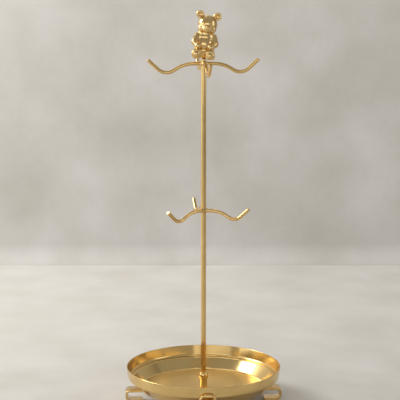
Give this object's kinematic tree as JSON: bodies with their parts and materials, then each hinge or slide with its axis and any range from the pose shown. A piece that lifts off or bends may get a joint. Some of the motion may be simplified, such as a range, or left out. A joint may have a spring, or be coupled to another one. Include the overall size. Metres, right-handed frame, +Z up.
{
  "type": "mug tree",
  "caption": "Free-standing mug tree: tiers of dipped hooks on a turning centre pole over a stepped round tray on strip feet, with a seated bear finial.",
  "frame": {"origin": "on the table under the pole axis, in the plane of the foot pads", "axes": "+Z up the pole, -Y towards the front ring side, +X to the user's right"},
  "size_m": [0.1816, 0.1829, 0.4522],
  "materials": {
    "gold_plate": "polished brass-coloured plate over steel",
    "finial_gold": "polished cast brass",
    "steel": "zinc-plated steel",
    "pad": "matte translucent silicone"
  },
  "bodies": {
    "base": {"tray": "gold_plate", "foot_front": "gold_plate", "foot_right": "gold_plate", "foot_back": "gold_plate", "foot_left": "gold_plate", "foot_pad_front": "pad", "foot_pad_right": "pad", "foot_pad_back": "pad", "foot_pad_left": "pad", "pole_ferrule": "gold_plate", "ring_lug": "gold_plate"},
    "column": {"pole": "gold_plate", "base_washer": "steel", "base_lock_washer": "steel", "base_nut": "steel", "finial_stud": "steel", "arm_upper_right": "gold_plate", "arm_upper_back": "gold_plate", "arm_upper_left": "gold_plate", "arm_upper_front": "gold_plate", "arm_lower_right": "gold_plate", "arm_lower_back": "gold_plate", "arm_lower_left": "gold_plate"},
    "finial": {"bear_finial": "finial_gold"},
    "pull_ring": {"pull_ring": "gold_plate"}
  },
  "joints": [
    {"name": "column_turn", "type": "hinge", "parent": "base", "child": "column", "pos_m": [0, 0, 0.017], "axis": [0, 0, 1], "continuous": true},
    {"name": "finial_turn", "type": "hinge", "parent": "column", "child": "finial", "pos_m": [0, 0, 0.397], "axis": [0, 0, 1], "continuous": true},
    {"name": "ring_swing", "type": "hinge", "parent": "base", "child": "pull_ring", "pos_m": [0.0047, -0.08958, 0.0332], "axis": [-0.9986, -0.0523, 0], "range_deg": [-15, 150]}
  ]
}
